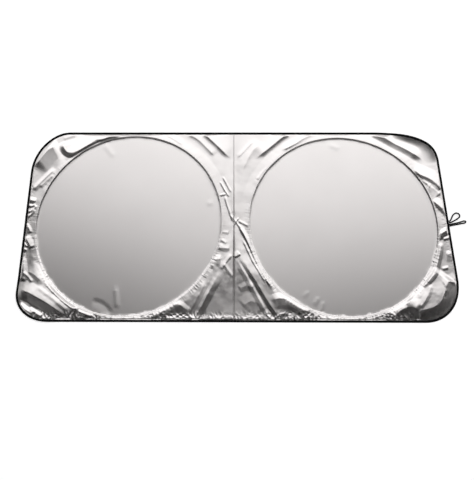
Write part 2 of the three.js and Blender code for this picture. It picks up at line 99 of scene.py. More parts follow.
# Creases of the slack cloth, part by part, in millimetres from the middle of the shade
TOP_LEFT_FOLDS = (
    Fold(4.8, 52, 18, ((-594, 292), (-586, 270), (-575, 257), (-558, 254), (-536, 261), (-515, 273),
                     (-496, 285), (-477, 298), (-452, 299), (-424, 308), (-390, 308)),
         SHARP, (0.08, 0.12)),
    Fold(-0.8, 14, 10, ((-588, 212), (-560, 236), (-520, 260), (-480, 280), (-440, 292)), HOLLOW),
    Fold(7.5, 34, 66, ((-700, 210), (-684, 228), (-662, 248), (-632, 268), (-602, 282)), 1.3, (0.3, 0.2)),
    Fold(2.1, 12, 13, ((-694, 126), (-665, 154), (-640, 178), (-616, 200)), 1.15),
    Fold(1.2, 7, 9, ((-668, 136), (-645, 158), (-620, 180)), SHARP),
    Fold(0.7, 8, 8, ((-590, 300), (-560, 310), (-538, 316))),
    Fold(2.6, 12, 13, ((-712, 97), (-698, 94), (-680, 90))),
    Fold(1.8, 7, 7, ((-708, 74), (-696, 74), (-682, 78))),
    Fold(1.8, 6, 7, ((-716, 52), (-694, 60), (-678, 76))),
    Fold(1.8, 6, 7, ((-716, 34), (-700, 44), (-684, 62))),
)
FOOT_LEFT_FOLDS = (
    Fold(2, 9, 12, ((-718, 12), (-706, 0), (-699, -18))),
    Fold(3, 18, 8, ((-717, -30), (-706, -52), (-696, -70)), SHARP),
    Fold(1.8, 7, 8, ((-730, -50), (-720, -56), (-708, -64))),
    Fold(2, 7, 8, ((-730, -68), (-722, -71), (-712, -76))),
    Fold(3, 14, 22, ((-732, -96), (-724, -128), (-722, -156), (-724, -184))),
    Fold(1.6, 44, 20, ((-716, -146), (-694, -154), (-674, -168), (-648, -190)), 1.5, (0.2, 0.4)),
    Fold(1.5, 9, 10, ((-726, -148), (-708, -165), (-692, -184))),
    Fold(9.5, 104, 32, ((-738, -208), (-722, -213), (-700, -221), (-680, -232), (-660, -243),
                        (-640, -255), (-620, -269), (-600, -284), (-580, -298), (-562, -311)),
         0.9, (0.24, 0.1)),
    Fold(3, 36, 32, ((-736, -208), (-700, -221), (-660, -243), (-620, -269), (-580, -298)),
         SHARP, (0.1, 0.3)),
    Fold(1.2, 9, 6, ((-655, -182), (-625, -212), (-600, -236), (-575, -258), (-545, -280)), SHARP),
    Fold(0.8, 10, 9, ((-676, -196), (-650, -218), (-620, -240), (-590, -266), (-566, -288)), SHARP),
    Fold(3.4, 8, 16, ((-540, -281), (-516, -288), (-488, -297)), SHARP),
    Fold(4, 12, 14, ((-738, -258), (-715, -277), (-690, -294)), SHARP),
    Fold(3, 9, 10, ((-705, -272), (-684, -286), (-660, -300)), SHARP),
)
FOOT_MIDDLE_FOLDS = (
    Fold(2.3, 14, 30, ((-296, -296), (-250, -274), (-212, -256), (-188, -264), (-162, -288)), SHARP),
    Fold(0.9, 12, 8, ((-174, -308), (-150, -262), (-128, -222), (-110, -186))),
    Fold(2.7, 10, 20, ((-152, -316), (-124, -268), (-102, -226), (-82, -188), (-60, -150), (-46, -132)),
         SHARP, (0.05, 0.5)),
    Fold(1.2, 10, 6, ((-56, -142), (-36, -112), (-18, -90)), SHARP),
    Fold(1.2, 9, 9, ((-46, -120), (-30, -145), (-13, -170))),
    Fold(2.2, 18, 30, ((-100, -124), (-80, -106), (-54, -106))),
    Fold(1.4, 14, 14, ((-76, -65), (-52, -67), (-24, -70))),
    Fold(0.9, 9, 9, ((-66, -26), (-50, -42), (-36, -53))),
    Fold(0.8, 9, 9, ((-54, -13), (-42, -15), (-28, -16))),
    Fold(1.2, 4, 5, ((-24, 44), (-12, 30), (0, 14), (12, -2)), SHARP),
    Fold(1.3, 4, 4, ((4, 34), (-6, 20), (-14, 6)), SHARP),
    Fold(1.1, 7, 7, ((2, 24), (22, 14), (46, 2))),
    Fold(3.6, 11, 7, ((2, 14), (24, -26), (44, -66), (62, -106), (88, -154), (120, -212)), SHARP),
    Fold(1.8, 6, 5, ((16, -36), (36, -78), (52, -112), (76, -152), (100, -192)), SHARP),
    Fold(3.1, 44, 13, ((6, -88), (46, -154), (72, -196), (108, -256), (146, -312)), SHARP, (0.3, 0.05)),
    Fold(1.5, 7, 14, ((-6, -102), (28, -160), (50, -200), (82, -258), (112, -312)), SHARP, (0.2, 0.05)),
    Fold(2.2, 16, 6, ((-14, -97), (-2, -95), (10, -87)), SHARP),
    Fold(1, 16, 18, ((4, -208), (30, -196), (56, -204))),
    Fold(1.3, 30, 34, ((16, -268), (42, -250), (70, -256), (90, -282))),
    Fold(2.9, 20, 36, ((110, -248), (145, -238), (180, -246), (215, -262), (248, -282)), SHARP),
)
TOP_MIDDLE_FOLDS = (
    Fold(0.8, 20, 5, ((-252, 318), (-215, 300), (-184, 279))),
    Fold(1.8, 50, 15, ((-172, 319), (-135, 300), (-105, 272), (-76, 242)), HOLLOW),
    Fold(3.2, 75, 17, ((-114, 320), (-90, 298), (-60, 270), (-38, 248), (-18, 230)), HOLLOW, (0.05, 0.3)),
    Fold(1.4, 5, 5, ((-59, 158), (-45, 132), (-28, 104))),
    Fold(1.1, 5, 5, ((-50, 174), (-35, 146), (-20, 119))),
    Fold(1.3, 5, 6, ((-66, 109), (-52, 112), (-38, 114))),
    Fold(1.6, 5, 6, ((-42, 110), (-36, 84), (-28, 60), (-20, 36), (-12, 16))),
    Fold(0.8, 12, 5, ((0, 236), (25, 262), (52, 292))),
    Fold(2.4, 60, 34, ((10, 172), (28, 218), (52, 260), (84, 290)), HOLLOW, (0.4, 0.2)),
    Fold(3.6, 60, 18, ((58, 231), (90, 256), (125, 284), (150, 304), (174, 319)), HOLLOW, (0.3, 0.05)),
    Fold(0.9, 7, 6, ((66, 160), (84, 185), (104, 204))),
    Fold(2.1, 30, 14, ((146, 260), (190, 282), (225, 303), (255, 315), (295, 321)), HOLLOW),
)
TOP_RIGHT_FOLDS = (
    Fold(5.4, 44, 18, ((455, 326), (473, 316), (498, 303), (528, 286), (562, 269), (592, 252), (618, 235),
                       (643, 214)), 1.15, (0.06, 0.3)),
    Fold(-5, 150, 80, ((500, 322), (560, 320), (600, 313), (634, 297), (652, 274), (662, 244),
                       (668, 212))),
    Fold(4.2, 34, 15, ((590, 190), (622, 178), (650, 166), (672, 149), (694, 129)), SHARP),
    Fold(1.6, 7, 8, ((614, 164), (638, 152), (656, 140)), SHARP),
    Fold(2, 12, 30, ((640, 142), (665, 132), (686, 108))),
    Fold(3.6, 20, 12, ((658, 92), (680, 76), (697, 60), (714, 40)), SHARP),
)
FOOT_RIGHT_FOLDS = (
    Fold(4.5, 11, 18, ((672, -34), (692, -17), (712, -6)), SHARP),
    Fold(1.8, 7, 8, ((696, -38), (706, -36), (718, -32))),
    Fold(3.8, 8, 15, ((622, -196), (650, -172), (666, -150), (674, -120), (681, -85), (683, -48)),
         SHARP, (0.08, 0.08)),
    Fold(1.5, 14, 12, ((612, -272), (632, -246), (645, -220), (654, -190))),
    Fold(1.8, 24, 44, ((696, -196), (715, -183), (742, -170))),
    Fold(1.2, 5, 6, ((700, -190), (701, -214), (697, -240)), SHARP),
    Fold(10, 112, 130, ((596, -306), (618, -291), (640, -282), (662, -269), (682, -251), (702, -232),
                       (722, -208), (742, -182)), SHARP, (0.15, 0.1)),
    Fold(4.4, 34, 36, ((524, -312), (544, -286), (560, -274), (585, -268), (616, -276)), SHARP),
    Fold(1.3, 7, 5, ((458, -305), (490, -294), (524, -280))),
    Fold(1.6, 8, 8, ((692, -139), (702, -137), (714, -134))),
    Fold(1.8, 12, 30, ((706, -88), (716, -88), (728, -88))),
)
SLACK_FOLDS = (
    *TOP_LEFT_FOLDS,
    *FOOT_LEFT_FOLDS,
    *FOOT_MIDDLE_FOLDS,
    *TOP_MIDDLE_FOLDS,
    *TOP_RIGHT_FOLDS,
    *FOOT_RIGHT_FOLDS,
)

# Faint drags in the taut discs beside the hoops
DISC_FOLDS = (
    Fold(-0.8, 11, 24, ((-494, -247), (-464, -254), (-442, -270), (-428, -294))),
    Fold(0.5, 5, 5, ((-478, -286), (-458, -289), (-438, -292))),
    Fold(0.8, 12, 12, ((-412, -200), (-410, -235), (-408, -272))),
    Fold(0.5, 14, 14, ((-452, 282), (-434, 262), (-418, 240))),
    Fold(0.4, 9, 9, ((240, -215), (232, -225), (225, -235))),
    Fold(0.5, 10, 10, ((275, -235), (268, -248), (260, -260))),
    Fold(0.5, 10, 10, ((290, -250), (286, -270), (280, -290))),
    Fold(0.6, 12, 12, ((308, 281), (326, 275), (346, 266))),
    Fold(0.5, 12, 12, ((-82, 86), (-92, 84), (-104, 80))),
)

# Corners that curl off the floor, edge tape and all
EDGE_LIFTS = (
    Fold(9.5, 150, 36, ((500, 323), (560, 321), (600, 313), (634, 297), (652, 274), (662, 244),
                        (668, 212)), 1.6, (0.35, 0.35)),
    Fold(5, 40, 110, ((-745, -160), (-750, -220), (-745, -268), (-715, -304), (-660, -317), (-600, -318)),
         1.15, (0.3, 0.3)),
)

# Angles round the hoops at which the ends of their wires meet
LEFT_JOIN = math.radians(250)
RIGHT_JOIN = math.radians(290)

# Channel round a hoop: pitch of its puckers, height of its ripple and rise over the crimped sleeve
PUCKER_PITCH = 4.6 * MM
RIPPLE = 0.55 * MM
SLEEVE_RISE = 0.6 * MM

# Slack cloth: way in from the tape over which it rises, and what the foot's right corner adds to it
TAPE_RAMP = 5 * MM
CORNER_RAMP = 7 * MM

# Share of its height that it loses beside the tape, the way over which that ends, and what the middle
# of the foot adds to that way
SLUMP = 0.75
SLUMP_REACH = 80 * MM
GENTLE_REACH = 110 * MM

# Height of its bulge between the hoops, and the ways over which creases grow from the tape and a hoop
DOME = 3.4 * MM
CREASE_RAMP = 2 * MM
HOOP_EASE = 11 * MM

# Gathers along the foot: how far down they start, and the heights of the large and the small ones and
# of the roll beside the tape
GATHER_LINE = 0.262
FOOT_GATHER = 2.4 * MM
FOOT_CRINKLE = 0.9 * MM
FOOT_ROLL = 1.5 * MM

# Stretches of the shade along x or y, from and to, with the way over which each fades, in metres
QUIET_FOOT = (-0.16, 0.14, 0.05)
GENTLE_FOOT = (-0.13, 0.15, 0.06)
ROLLED_FOOT = (-0.5, 0.56, 0.1)
LEFT_GATHERS = (-0.17, 0.24, 0.05)
RIGHT_GATHERS = (-0.16, 0.27, 0.03)
BULGE = (-0.3, 0.29, 0.24)

# Mesh of the cloth: steps along its rows, round a hoop and over the taut disc, near the hoop and far
# in, with the ways in from the wire where these end and start, and its rings in channel half widths
ROW_STEP = 3 * MM
RING_STEP = 2.4 * MM
NEAR_STEP = 6 * MM
FAR_STEP = 15 * MM
NEAR_END = 95 * MM
FAR_START = 100 * MM
RINGS = (-1.5, -1.2, -1.05, -0.95, -0.8, -0.6, -0.4, -0.2, -0.05, 0.05, 0.25, 0.5, 0.75, 1)

# Threads of the cloth's weave in each metre, and sizes of a stitch: long, wide and high
CLOTH_THREADS = 420.0
EDGE_STITCH = (2.6 * MM, 0.55 * MM, 0.5 * MM)
CHANNEL_STITCH = (2.4 * MM, 0.5 * MM, 0.4 * MM)

# Studio: level of the floor, the soft lamp, and the cards' overlap at the middle, the middle card's
# step back, and the far card's reach and blend
FLOOR_GLOW = 0.6
LAMP_SIZE = (16, 5)
LAMP_POWER = 70
LAMP_PLACE = (0, 4.4, 7)
LAMP_TILT = math.radians(-25)
CARD_OVERLAP = 0.3
CARD_STEP_BACK = 1.6
FAR_REACH = 45
FAR_BLEND = 6.0


# Settings


def length(name, description, default):
    return bpy.props.FloatProperty(
        name=name, description=description, default=default, unit="LENGTH", subtype="DISTANCE"
    )


def share(name, description, default):
    return bpy.props.FloatProperty(
        name=name, description=description, default=default, min=0.0, max=1.0, subtype="FACTOR"
    )


def lean(name, description, degrees):
    return bpy.props.FloatProperty(
        name=name, description=description, default=math.radians(degrees), subtype="ANGLE"
    )


def free_cloth(name, description, default):
    return bpy.props.FloatVectorProperty(
        name=name, description=description, default=default, size=4, unit="LENGTH"
    )


def tint(name, description, default):
    return bpy.props.FloatVectorProperty(
        name=name, description=description, default=default, size=3, min=0.0, max=1.0, subtype="COLOR"
    )


class SunshadeOutline(bpy.types.PropertyGroup):
    height: length("Height", "Height of the bound sheet", 645 * MM)
    top_width: length("Top width", "Width of the top edge, to where the sides would meet it", 1348 * MM)
    top_shift: length("Top shift", "Middle of the top edge from the middle of the shade", -8.5 * MM)
    foot_width: length("Foot width", "Width of the foot edge, to where the sides would meet it", 1533 * MM)
    foot_shift: length("Foot shift", "Middle of the foot edge from the middle of the shade", 5 * MM)
    foot_rise: length("Foot rise", "Height that the foot edge gains towards the left", 4 * MM)
    seam_x: length("Seam place", "Place of the middle seam along the width", -12.5 * MM)
    seam_gap: length("Seam gap", "Gap between the two halves of the cloth", 0.35 * MM)


class SunshadeHoops(bpy.types.PropertyGroup):
    left_free: free_cloth(
        "Left hoop free cloth",
        "Free cloth round the left hoop at the top, foot, seam and side",
        (1.4 * MM, 4.4 * MM, 29 * MM, 26 * MM),
    )
    right_free: free_cloth(
        "Right hoop free cloth",
        "Free cloth round the right hoop at the top, foot, seam and side",
        (7 * MM, 4 * MM, 40 * MM, 26.5 * MM),
    )
    left_slant: lean("Left slant", "Lean of the left oval", 4.8)
    right_slant: lean("Right slant", "Lean of the right oval", -4.2)
    casing_width: length("Casing width", "Width of the tape that closes a channel", 9 * MM)
    channel_rise: length("Channel rise", "Height of the cloth over the wire", 3.15 * MM)
    channel_half: length("Channel half width", "Way in from the wire to the flat cloth", 4.4 * MM)


class SunshadeCloth(bpy.types.PropertyGroup):
    thickness: length("Cloth thickness", "Thickness of the coated cloth", 0.3 * MM)
    underside: length("Cloth underside", "Height of the flat cloth over the floor", 0.7 * MM)
    slack_lift: length("Slack lift", "Height that the slack cloth billows to", 4.6 * MM)
    fine: length("Fine spacing", "Spacing of the mesh on the slack cloth", 2.25 * MM)
    silver: tint("Silver", "Colour of the coated side", (0.955, 0.92, 0.91))
    back: tint("Back", "Colour of the uncoated side", (0.2, 0.205, 0.21))


class SunshadeTape(bpy.types.PropertyGroup):
    width: length("Tape width", "Width of the edge tape once folded", 7.5 * MM)
    thickness: length("Tape thickness", "Thickness of the edge tape", 0.4 * MM)
    stitch_pitch: length("Stitch pitch", "Length of one stitch and its gap", 3.4 * MM)
    black: tint("Tape black", "Colour of the tape", (0.007, 0.007, 0.0075))


class SunshadeElastic(bpy.types.PropertyGroup):
    diameter: length("Elastic diameter", "Diameter of the elastic cord", 4.9 * MM)
    edge_y: length("Loop place", "Height of the open loop on the right edge", 22 * MM)
    spacing: length("Loop spacing", "Way from one loop down to the next", 11 * MM)
    black: tint("Elastic black", "Colour of the braided cover", (0.007, 0.007, 0.0075))


class SunshadeStage(bpy.types.PropertyGroup):
    camera_height: length("Camera height", "Height of the camera over the floor", 2.6)
    camera_x: length("Camera across", "Camera's place along the width", -1.5 * MM)
    camera_y: length("Camera up", "Camera's place along the height", -41.5 * MM)
    view_span: length("View span", "Long side of the picture at the floor", 1.6253)
    sky: bpy.props.FloatProperty(name="Sky", description="Level of the world's light", default=1.0)
    flag_edge: length("Flag edge", "Place of the dark cards' front edge", 0.5)
    flag_reach: length("Flag reach", "Reach of the dark cards to the sides and the front", 19.0)
    far_edge: length("Far edge", "Place of the grey card's near edge, behind the shade", 7.6)
    far_level: share("Far level", "Level that the grey card glows at", 0.5)
    flag_blend: length("Flag blend", "Stretch over which the dark cards blend into the sky", 2.1)


# Outline of the sheet


def corner_points(outline):
    """Where the four straight edges would meet, anticlockwise from the top left."""
    top = outline.height / 2
    return {
        "top_left": np.array((outline.top_shift - outline.top_width / 2, top)),
        "foot_left": np.array((outline.foot_shift - outline.foot_width / 2, outline.foot_rise - top)),
        "foot_right": np.array((outline.foot_shift + outline.foot_width / 2, -top)),
        "top_right": np.array((outline.top_shift + outline.top_width / 2, top)),
    }


def towards(start, end, distance):
    step = end - start
    return start + step * distance / np.linalg.norm(step)


def corner_arc(corner, before, after, enter, leave, samples=60):
    """Points and inward ways along one corner's curve. Enter and leave are (reach, pull) pairs."""
    p = (
        towards(corner, before, enter[0]),
        towards(corner, before, enter[0] * (1 - enter[1])),
        towards(corner, after, leave[0] * (1 - leave[1])),
        towards(corner, after, leave[0]),
    )
    t = np.linspace(0, 1, samples)[:, None]
    points = (1 - t) ** 3 * p[0] + 3 * (1 - t) ** 2 * t * p[1] + 3 * (1 - t) * t**2 * p[2] + t**3 * p[3]
    way = (1 - t) ** 2 * (p[1] - p[0]) + 2 * (1 - t) * t * (p[2] - p[1]) + t**2 * (p[3] - p[2])
    way /= np.linalg.norm(way, axis=1)[:, None]
    return np.hstack((points, np.stack((-way[:, 1], way[:, 0]), axis=1)))


def outline_stations(outline, step):
    """Evenly spaced stations round the outline, anticlockwise: x, y and the way inwards."""
    c = corner_points(outline)

    def pair(curve, edge_first):
        edge, side, edge_pull, side_pull = curve
        ends = ((edge * MM, edge_pull), (side * MM, side_pull))
        return ends if edge_first else ends[::-1]

    arcs = [
        corner_arc(c["top_left"], c["top_right"], c["foot_left"], *pair(TOP_LEFT_CURVE, True)),
        corner_arc(c["foot_left"], c["top_left"], c["foot_right"], *pair(FOOT_LEFT_CURVE, False)),
        corner_arc(c["foot_right"], c["foot_left"], c["top_right"], *pair(FOOT_RIGHT_CURVE, True)),
        corner_arc(c["top_right"], c["foot_right"], c["top_left"], *pair(TOP_RIGHT_CURVE, False)),
    ]
    loop = np.vstack((*arcs, arcs[0][:1]))
    run = np.concatenate(([0], np.cumsum(np.linalg.norm(np.diff(loop[:, :2], axis=0), axis=1))))
    count = round(run[-1] / step)
    at = np.linspace(0, run[-1], count, endpoint=False)
    stations = np.stack([np.interp(at, run, loop[:, k]) for k in range(4)], axis=1)
    stations[:, 2:] /= np.linalg.norm(stations[:, 2:], axis=1)[:, None]
    return stations


def half_loop(outline, inset, seam_inset, is_left, step):
    """Boundary of one half at an inset from the outline and from the seam, anticlockwise."""
    stations = outline_stations(outline, step)
    loop = stations[:, :2] + stations[:, 2:] * inset
    side = -1 if is_left else 1
    seam = outline.seam_x + side * seam_inset
    inside = side * (loop[:, 0] - seam) > step / 3
    first = np.flatnonzero(inside & ~np.roll(inside, 1))[0]
    kept = np.roll(loop, -first, axis=0)[: inside.sum()]
    start = np.array((seam, kept[0, 1] + (kept[0, 1] - kept[1, 1]) * 0.5))
    end = np.array((seam, kept[-1, 1] + (kept[-1, 1] - kept[-2, 1]) * 0.5))
    rows = round(np.linalg.norm(end - start) / step)
    up_seam = [end + (start - end) * i / rows for i in range(rows + 1)]
    return np.vstack((kept, up_seam))


# Pieces of the scene


def link_object(name, data):
    """Put a mesh, a curve, a lamp or a camera into the scene."""
    piece = bpy.data.objects.new(name, data)
    bpy.context.scene.collection.objects.link(piece)
    return piece


def link_bmesh(name, bm):
    mesh = bpy.data.meshes.new(name)
    bm.to_mesh(mesh)
    bm.free()
    return link_object(name, mesh)


def poly_curve(name, points, closed):
    """Curve of straight spans through the points."""
    curve = bpy.data.curves.new(name, "CURVE")
    curve.dimensions = "3D"
    line = curve.splines.new("POLY")
    line.points.add(len(points) - 1)
    for point, co in zip(line.points, points):
        point.co = (*co, 1)
    line.use_cyclic_u = closed
    return curve


def applied_mesh(piece):
    """Copy of a piece's mesh with its curve settings and modifiers applied."""
    depsgraph = bpy.context.evaluated_depsgraph_get()
    return bpy.data.meshes.new_from_object(piece.evaluated_get(depsgraph))


def dress(mesh, finish):
    mesh.materials.clear()
    mesh.materials.append(finish)


def way_round(route):
    """Length of a closed route."""
    return float(np.linalg.norm(np.diff(np.vstack((route, route[:1])), axis=0), axis=1).sum())


# Hoops


class Hoop:
    """One oval hoop: its middle, half width and height, and slant, laid into its half of the sheet."""

    def __init__(self, scene, is_left):
        outline, hoops, tape = scene.sunshade_outline, scene.sunshade_hoops, scene.sunshade_tape
        top, foot, seam, side = hoops.left_free if is_left else hoops.right_free
        c = corner_points(outline)
        out = -1 if is_left else 1
        half_casing = hoops.casing_width / 2
        seam_line = outline.seam_x + out * (HALF_SEAM_TAPE + half_casing + seam)
        name = "left" if is_left else "right"
        middle = (c["top_" + name][0] + c["foot_" + name][0]) / 2
        side_line = middle - out * (tape.width + half_casing + side)
        self.x = (seam_line + side_line) / 2
        across = (self.x - c["foot_left"][0]) / (c["foot_right"][0] - c["foot_left"][0])
        foot_y = c["foot_left"][1] + across * (c["foot_right"][1] - c["foot_left"][1])
        top_line = outline.height / 2 - tape.width - half_casing - top
        foot_line = foot_y + tape.width + half_casing + foot
        self.y = (top_line + foot_line) / 2
        self.half_width = abs(side_line - seam_line) / 2
        self.half_height = (top_line - foot_line) / 2
        self.slant = hoops.left_slant if is_left else hoops.right_slant
        self.join_angle = LEFT_JOIN if is_left else RIGHT_JOIN

    def radius(self, angle):
        across = np.cos(angle) / self.half_width
        up = (np.sin(angle) / self.half_height - math.sin(self.slant) * across) / math.cos(self.slant)
        return 1 / np.hypot(across, up)

    def polar(self, points):
        """Angle and distance beyond the wire of each point."""
        dx = points[:, 0] - self.x
        dy = points[:, 1] - self.y
        angle = np.arctan2(dy, dx)
        return angle, np.hypot(dx, dy) - self.radius(angle)

    def join(self):
        """Where the ends of the wire meet, in the crimped sleeve."""
        reach = self.radius(self.join_angle)
        way = np.array((np.cos(self.join_angle), np.sin(self.join_angle)))
        return np.array((self.x, self.y)) + reach * way

    def ring(self, offset, step):
        count = round(2 * math.pi * (self.half_width + offset) / step)
        angle = np.arange(count) * 2 * math.pi / count
        radius = self.radius(angle) + offset
        return np.stack((self.x + radius * np.cos(angle), self.y + radius * np.sin(angle)), axis=1)


# Height of the cloth


def smooth_route(points, per_span):
    """Points of a centripetal Catmull-Rom curve through the given ones."""
    p = np.vstack((2 * points[0] - points[1], points, 2 * points[-1] - points[-2]))
    route = []
    for i in range(1, len(p) - 2):
        p0, p1, p2, p3 = p[i - 1 : i + 3]
        t0 = 0.0
        t1 = t0 + np.linalg.norm(p1 - p0) ** 0.5
        t2 = t1 + np.linalg.norm(p2 - p1) ** 0.5
        t3 = t2 + np.linalg.norm(p3 - p2) ** 0.5
        for t in np.linspace(t1, t2, per_span, endpoint=False):
            a1 = p0 * (t1 - t) / (t1 - t0) + p1 * (t - t0) / (t1 - t0)
            a2 = p1 * (t2 - t) / (t2 - t1) + p2 * (t - t1) / (t2 - t1)
            a3 = p2 * (t3 - t) / (t3 - t2) + p3 * (t - t2) / (t3 - t2)
            b1 = a1 * (t2 - t) / (t2 - t0) + a2 * (t - t0) / (t2 - t0)
            b2 = a2 * (t3 - t) / (t3 - t1) + a3 * (t - t1) / (t3 - t1)
            route.append(b1 * (t2 - t) / (t2 - t1) + b2 * (t - t1) / (t2 - t1))
    route.append(p[-2])
    return np.array(route)


def ease(value):
    clamped = np.clip(value, 0, 1)
    return clamped * clamped * (3 - 2 * clamped)


def nearest(points, targets):
    """Which target each point is nearest to, and how far it is."""
    tree = KDTree(len(targets))
    for i, (x, y) in enumerate(targets):
        tree.insert((x, y, 0), i)
    tree.balance()
    found = [tree.find((x, y, 0))[1:] for x, y in points]
    index, distance = np.array(found).T
    return index.astype(int), distance


def lattice(low, high, spacing):
    """Points of an even triangular spread over a box."""
    rows = np.arange(low[1], high[1], spacing * math.sqrt(0.75))
    columns = np.arange(low[0], high[0], spacing)
    x, y = np.meshgrid(columns, rows)
    x[1::2] += spacing / 2
    return np.stack((x.ravel(), y.ravel()), axis=1)


def star_radius(loop, hoop, angle):
    """Way from the hoop's middle to a loop round it, at each angle."""
    around = np.arctan2(loop[:, 1] - hoop.y, loop[:, 0] - hoop.x)
    reach = np.hypot(loop[:, 0] - hoop.x, loop[:, 1] - hoop.y)
    order = np.argsort(around)
    return np.interp(angle, around[order], reach[order], period=2 * math.pi)


def fold_heights(points, folds):
    """Height that the folds add at each point."""
    total = np.zeros(len(points))
    for fold in folds:
        route = smooth_route(np.array(fold.path, float) * MM, 6)
        widest = max(fold.above, fold.below) * MM
        inside = (points > route.min(axis=0) - widest) & (points < route.max(axis=0) + widest)
        near = np.flatnonzero(inside.all(axis=1))
        if not len(near):
            continue
        step = np.diff(route, axis=0)
        reach = np.linalg.norm(step, axis=1)
        run = np.concatenate(([0], np.cumsum(reach)))
        offset = points[near][:, None] - route[None, :-1]
        along = np.clip((offset * step).sum(axis=2) / reach**2, 0, 1)
        distance = np.linalg.norm(offset - along[..., None] * step, axis=2)
        nearest = distance.argmin(axis=1)
        pick = (np.arange(len(near)), nearest)
        left = step[nearest, 0] * offset[pick][:, 1] - step[nearest, 1] * offset[pick][:, 0] > 0
        at = (run[nearest] + along[pick] * reach[nearest]) / run[-1]
        width = np.where(left, fold.above, fold.below) * MM
        flank = np.clip(1 - distance[pick] / width, 0, 1) ** fold.bend
        fade = ease(at / fold.fade[0]) * ease((1 - at) / fold.fade[1])
        total[near] += fold.rise * MM * flank * fade
    return total


def soft_floor(height, rounding):
    """Height kept above 0, rounded off over the last stretch."""
    return rounding * np.logaddexp(0, height / rounding)


def smooth_noise(points, seed):
    """Smooth random field from -1 to 1 with blobs about 1 wide."""
    table = np.random.default_rng(seed).uniform(0, 2 * math.pi, (64, 64))
    base = np.floor(points).astype(int)
    inside = points - base
    blend = inside**3 * (inside * (inside * 6 - 15) + 10)
    total = np.zeros(len(points))
    for i in (0, 1):
        for j in (0, 1):
            angle = table[(base[:, 0] + i) % 64, (base[:, 1] + j) % 64]
            slope = np.cos(angle) * (inside[:, 0] - i) + np.sin(angle) * (inside[:, 1] - j)
            across = blend[:, 0] if i else 1 - blend[:, 0]
            up = blend[:, 1] if j else 1 - blend[:, 1]
            total += across * up * slope
    return total * 1.5


def zigzag(phase):
    return np.abs(2 * (phase - np.floor(phase)) - 1)


def gathers(run, inset, pitch, lean, seed):
    """Creases that fan in from a gathered edge, 0 to 1, by the way along it and in from it."""
    wander = smooth_noise(np.stack((run, inset), axis=1) / (2.2 * pitch), seed) * 1.3
    first = zigzag((run + lean * inset) / pitch + wander)
    second = zigzag((run - lean * inset) / (1.27 * pitch) - 1.4 * wander)
    return np.maximum(first, second)


def window(value, low, high, soft):
    return ease((value - low) / soft) * ease((high - value) / soft)


def edge_gathers(points, run, inset):
    """Height of the small creases along the foot and the sides."""
    x, y = points.T
    foot = ease((-y - GATHER_LINE) / (26 * MM)) * ease((46 * MM - inset) / (26 * MM))
    foot *= 1 - 0.45 * window(x, *QUIET_FOOT)
    total = FOOT_GATHER * foot * (gathers(run, inset, 19 * MM, 0.55, 3) - 0.62)
    total += FOOT_CRINKLE * foot * (gathers(run, inset, 8 * MM, 0.8, 8) - 0.62)
    total += FOOT_ROLL * window(x, *ROLLED_FOOT) * (y < 0) * ease((28 * MM - inset) / (20 * MM))
    beside = ease((30 * MM - inset) / (20 * MM))
    left = window(y, *LEFT_GATHERS) * (x < -0.6)
    right = window(y, *RIGHT_GATHERS) * (x > 0.6)
    total += (left + right) * MM * beside * (gathers(run, inset, 8.5 * MM, 0.3, 5) - 0.5)
    return total


